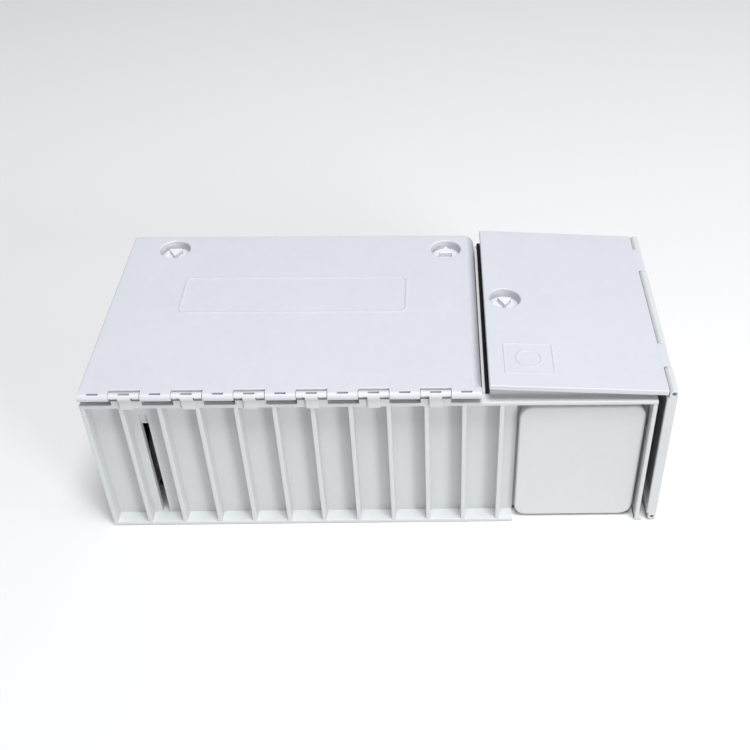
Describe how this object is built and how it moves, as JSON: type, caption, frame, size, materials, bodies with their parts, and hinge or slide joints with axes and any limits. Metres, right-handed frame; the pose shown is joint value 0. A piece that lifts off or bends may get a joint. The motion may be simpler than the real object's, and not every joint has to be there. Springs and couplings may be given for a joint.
{
  "type": "fiber termination box",
  "caption": "Ribbed two-compartment wall box for splicing and patching optical fiber, with a front-hinged cover, a side door on a drop-down end panel and triangle-key locks",
  "frame": {"origin": "centre of the overall footprint, on the wall-side underside of the base", "axes": "+X along the long side towards the end panel, +Y from the main hinge towards the lock side, +Z out of the wall towards the covers"},
  "size_m": [0.392, 0.187, 0.1314],
  "materials": {
    "shell_plastic": "light grey moulded plastic, fine satin texture",
    "lid_plastic": "light grey moulded plastic, slightly smoother than the shell",
    "plated_steel": "zinc plated steel",
    "lock_plastic": "pale nylon lock insert",
    "seal_foam": "black closed-cell foam strip",
    "module_metal": "brushed aluminium case",
    "adapter_green": "green moulded adapter housing",
    "cap_plastic": "pale soft plastic",
    "inner_plastic": "light grey internal moulding",
    "tray_plastic": "black moulded tray",
    "clear_plastic": "translucent clear lid",
    "strap_fabric": "woven hook-and-loop strap",
    "grommet_rubber": "black rubber grommet"
  },
  "bodies": {
    "body": {"base": "shell_plastic", "main_hinge_pin": "plated_steel", "end_panel_pin": "plated_steel", "partition_seal": "seal_foam", "adapter_plate": "inner_plastic", "adapter_1": "adapter_green", "adapter_2": "adapter_green", "adapter_3": "adapter_green", "adapter_4": "adapter_green", "adapter_5": "adapter_green", "adapter_6": "adapter_green", "dust_cap_1": "cap_plastic", "dust_cap_2": "cap_plastic", "dust_cap_3": "cap_plastic", "dust_cap_4": "cap_plastic", "dust_cap_5": "cap_plastic", "dust_cap_6": "cap_plastic", "plate_screw_1": "plated_steel", "plate_screw_2": "plated_steel", "tray_carrier_pin": "plated_steel", "splitter_module": "module_metal", "fibre_spool": "inner_plastic", "cord_guide_front": "inner_plastic", "cord_guide_rear": "inner_plastic", "cable_grommet_1": "grommet_rubber", "cable_grommet_2": "grommet_rubber", "cable_clamp_1": "inner_plastic", "cable_clamp_2": "inner_plastic", "clamp_screw_1": "plated_steel", "clamp_screw_2": "plated_steel", "clamp_screw_3": "plated_steel", "clamp_screw_4": "plated_steel"},
    "cover": {"main_cover": "lid_plastic", "lock_sleeve_left": "plated_steel", "lock_sleeve_right": "plated_steel"},
    "left_lock": {"lock_plug_left": "lock_plastic", "lock_cam_left": "plated_steel", "lock_nut_left": "plated_steel"},
    "right_lock": {"lock_plug_right": "lock_plastic", "lock_cam_right": "plated_steel", "lock_nut_right": "plated_steel"},
    "end": {"end_panel": "shell_plastic", "door_pin": "plated_steel"},
    "side_door": {"door": "lid_plastic", "lock_sleeve_door": "plated_steel"},
    "door_lock": {"lock_plug_door": "lock_plastic", "lock_cam_door": "plated_steel", "lock_nut_door": "plated_steel"},
    "front_port": {"front_port_cover": "shell_plastic"},
    "rear_port": {"rear_port_cover": "shell_plastic"},
    "trays": {"tray_carrier": "inner_plastic", "splice_tray_1": "tray_plastic", "splice_tray_2": "tray_plastic", "splice_tray_3": "tray_plastic", "tray_lid": "clear_plastic", "tray_strap": "strap_fabric"}
  },
  "joints": [
    {"name": "cover_hinge", "type": "hinge", "parent": "body", "child": "cover", "pos_m": [-0.06405, -0.0905, 0.124], "axis": [1, 0, 0], "range_deg": [0, 170]},
    {"name": "end_panel_hinge", "type": "hinge", "parent": "body", "child": "end", "pos_m": [0.1931, 0.0015, 0.0032], "axis": [0, 1, 0], "range_deg": [0, 90]},
    {"name": "door_hinge", "type": "hinge", "parent": "end", "child": "side_door", "pos_m": [0.1931, 0.0015, 0.1221], "axis": [0, 1, 0], "range_deg": [-3, 87]},
    {"name": "left_lock_turn", "type": "hinge", "parent": "cover", "child": "left_lock", "pos_m": [-0.1615, 0.0753, 0.11], "axis": [0, 0, 1], "range_deg": [0, 90]},
    {"name": "right_lock_turn", "type": "hinge", "parent": "cover", "child": "right_lock", "pos_m": [0.0451, 0.074, 0.11], "axis": [0, 0, -1], "range_deg": [0, 90]},
    {"name": "door_lock_turn", "type": "hinge", "parent": "side_door", "child": "door_lock", "pos_m": [0.08571, 0.0055, 0.11361], "axis": [-0.0523, 0, -0.9986], "range_deg": [0, 90]},
    {"name": "front_port_pull", "type": "slide", "parent": "body", "child": "front_port", "axis": [0, -1, 0], "range_m": [0, 0.04]},
    {"name": "rear_port_pull", "type": "slide", "parent": "body", "child": "rear_port", "axis": [0, 1, 0], "range_m": [0, 0.04]},
    {"name": "tray_carrier_hinge", "type": "hinge", "parent": "body", "child": "trays", "pos_m": [-0.118, -0.0025, 0.0095], "axis": [0, -1, 0], "range_deg": [0, 90]}
  ]
}
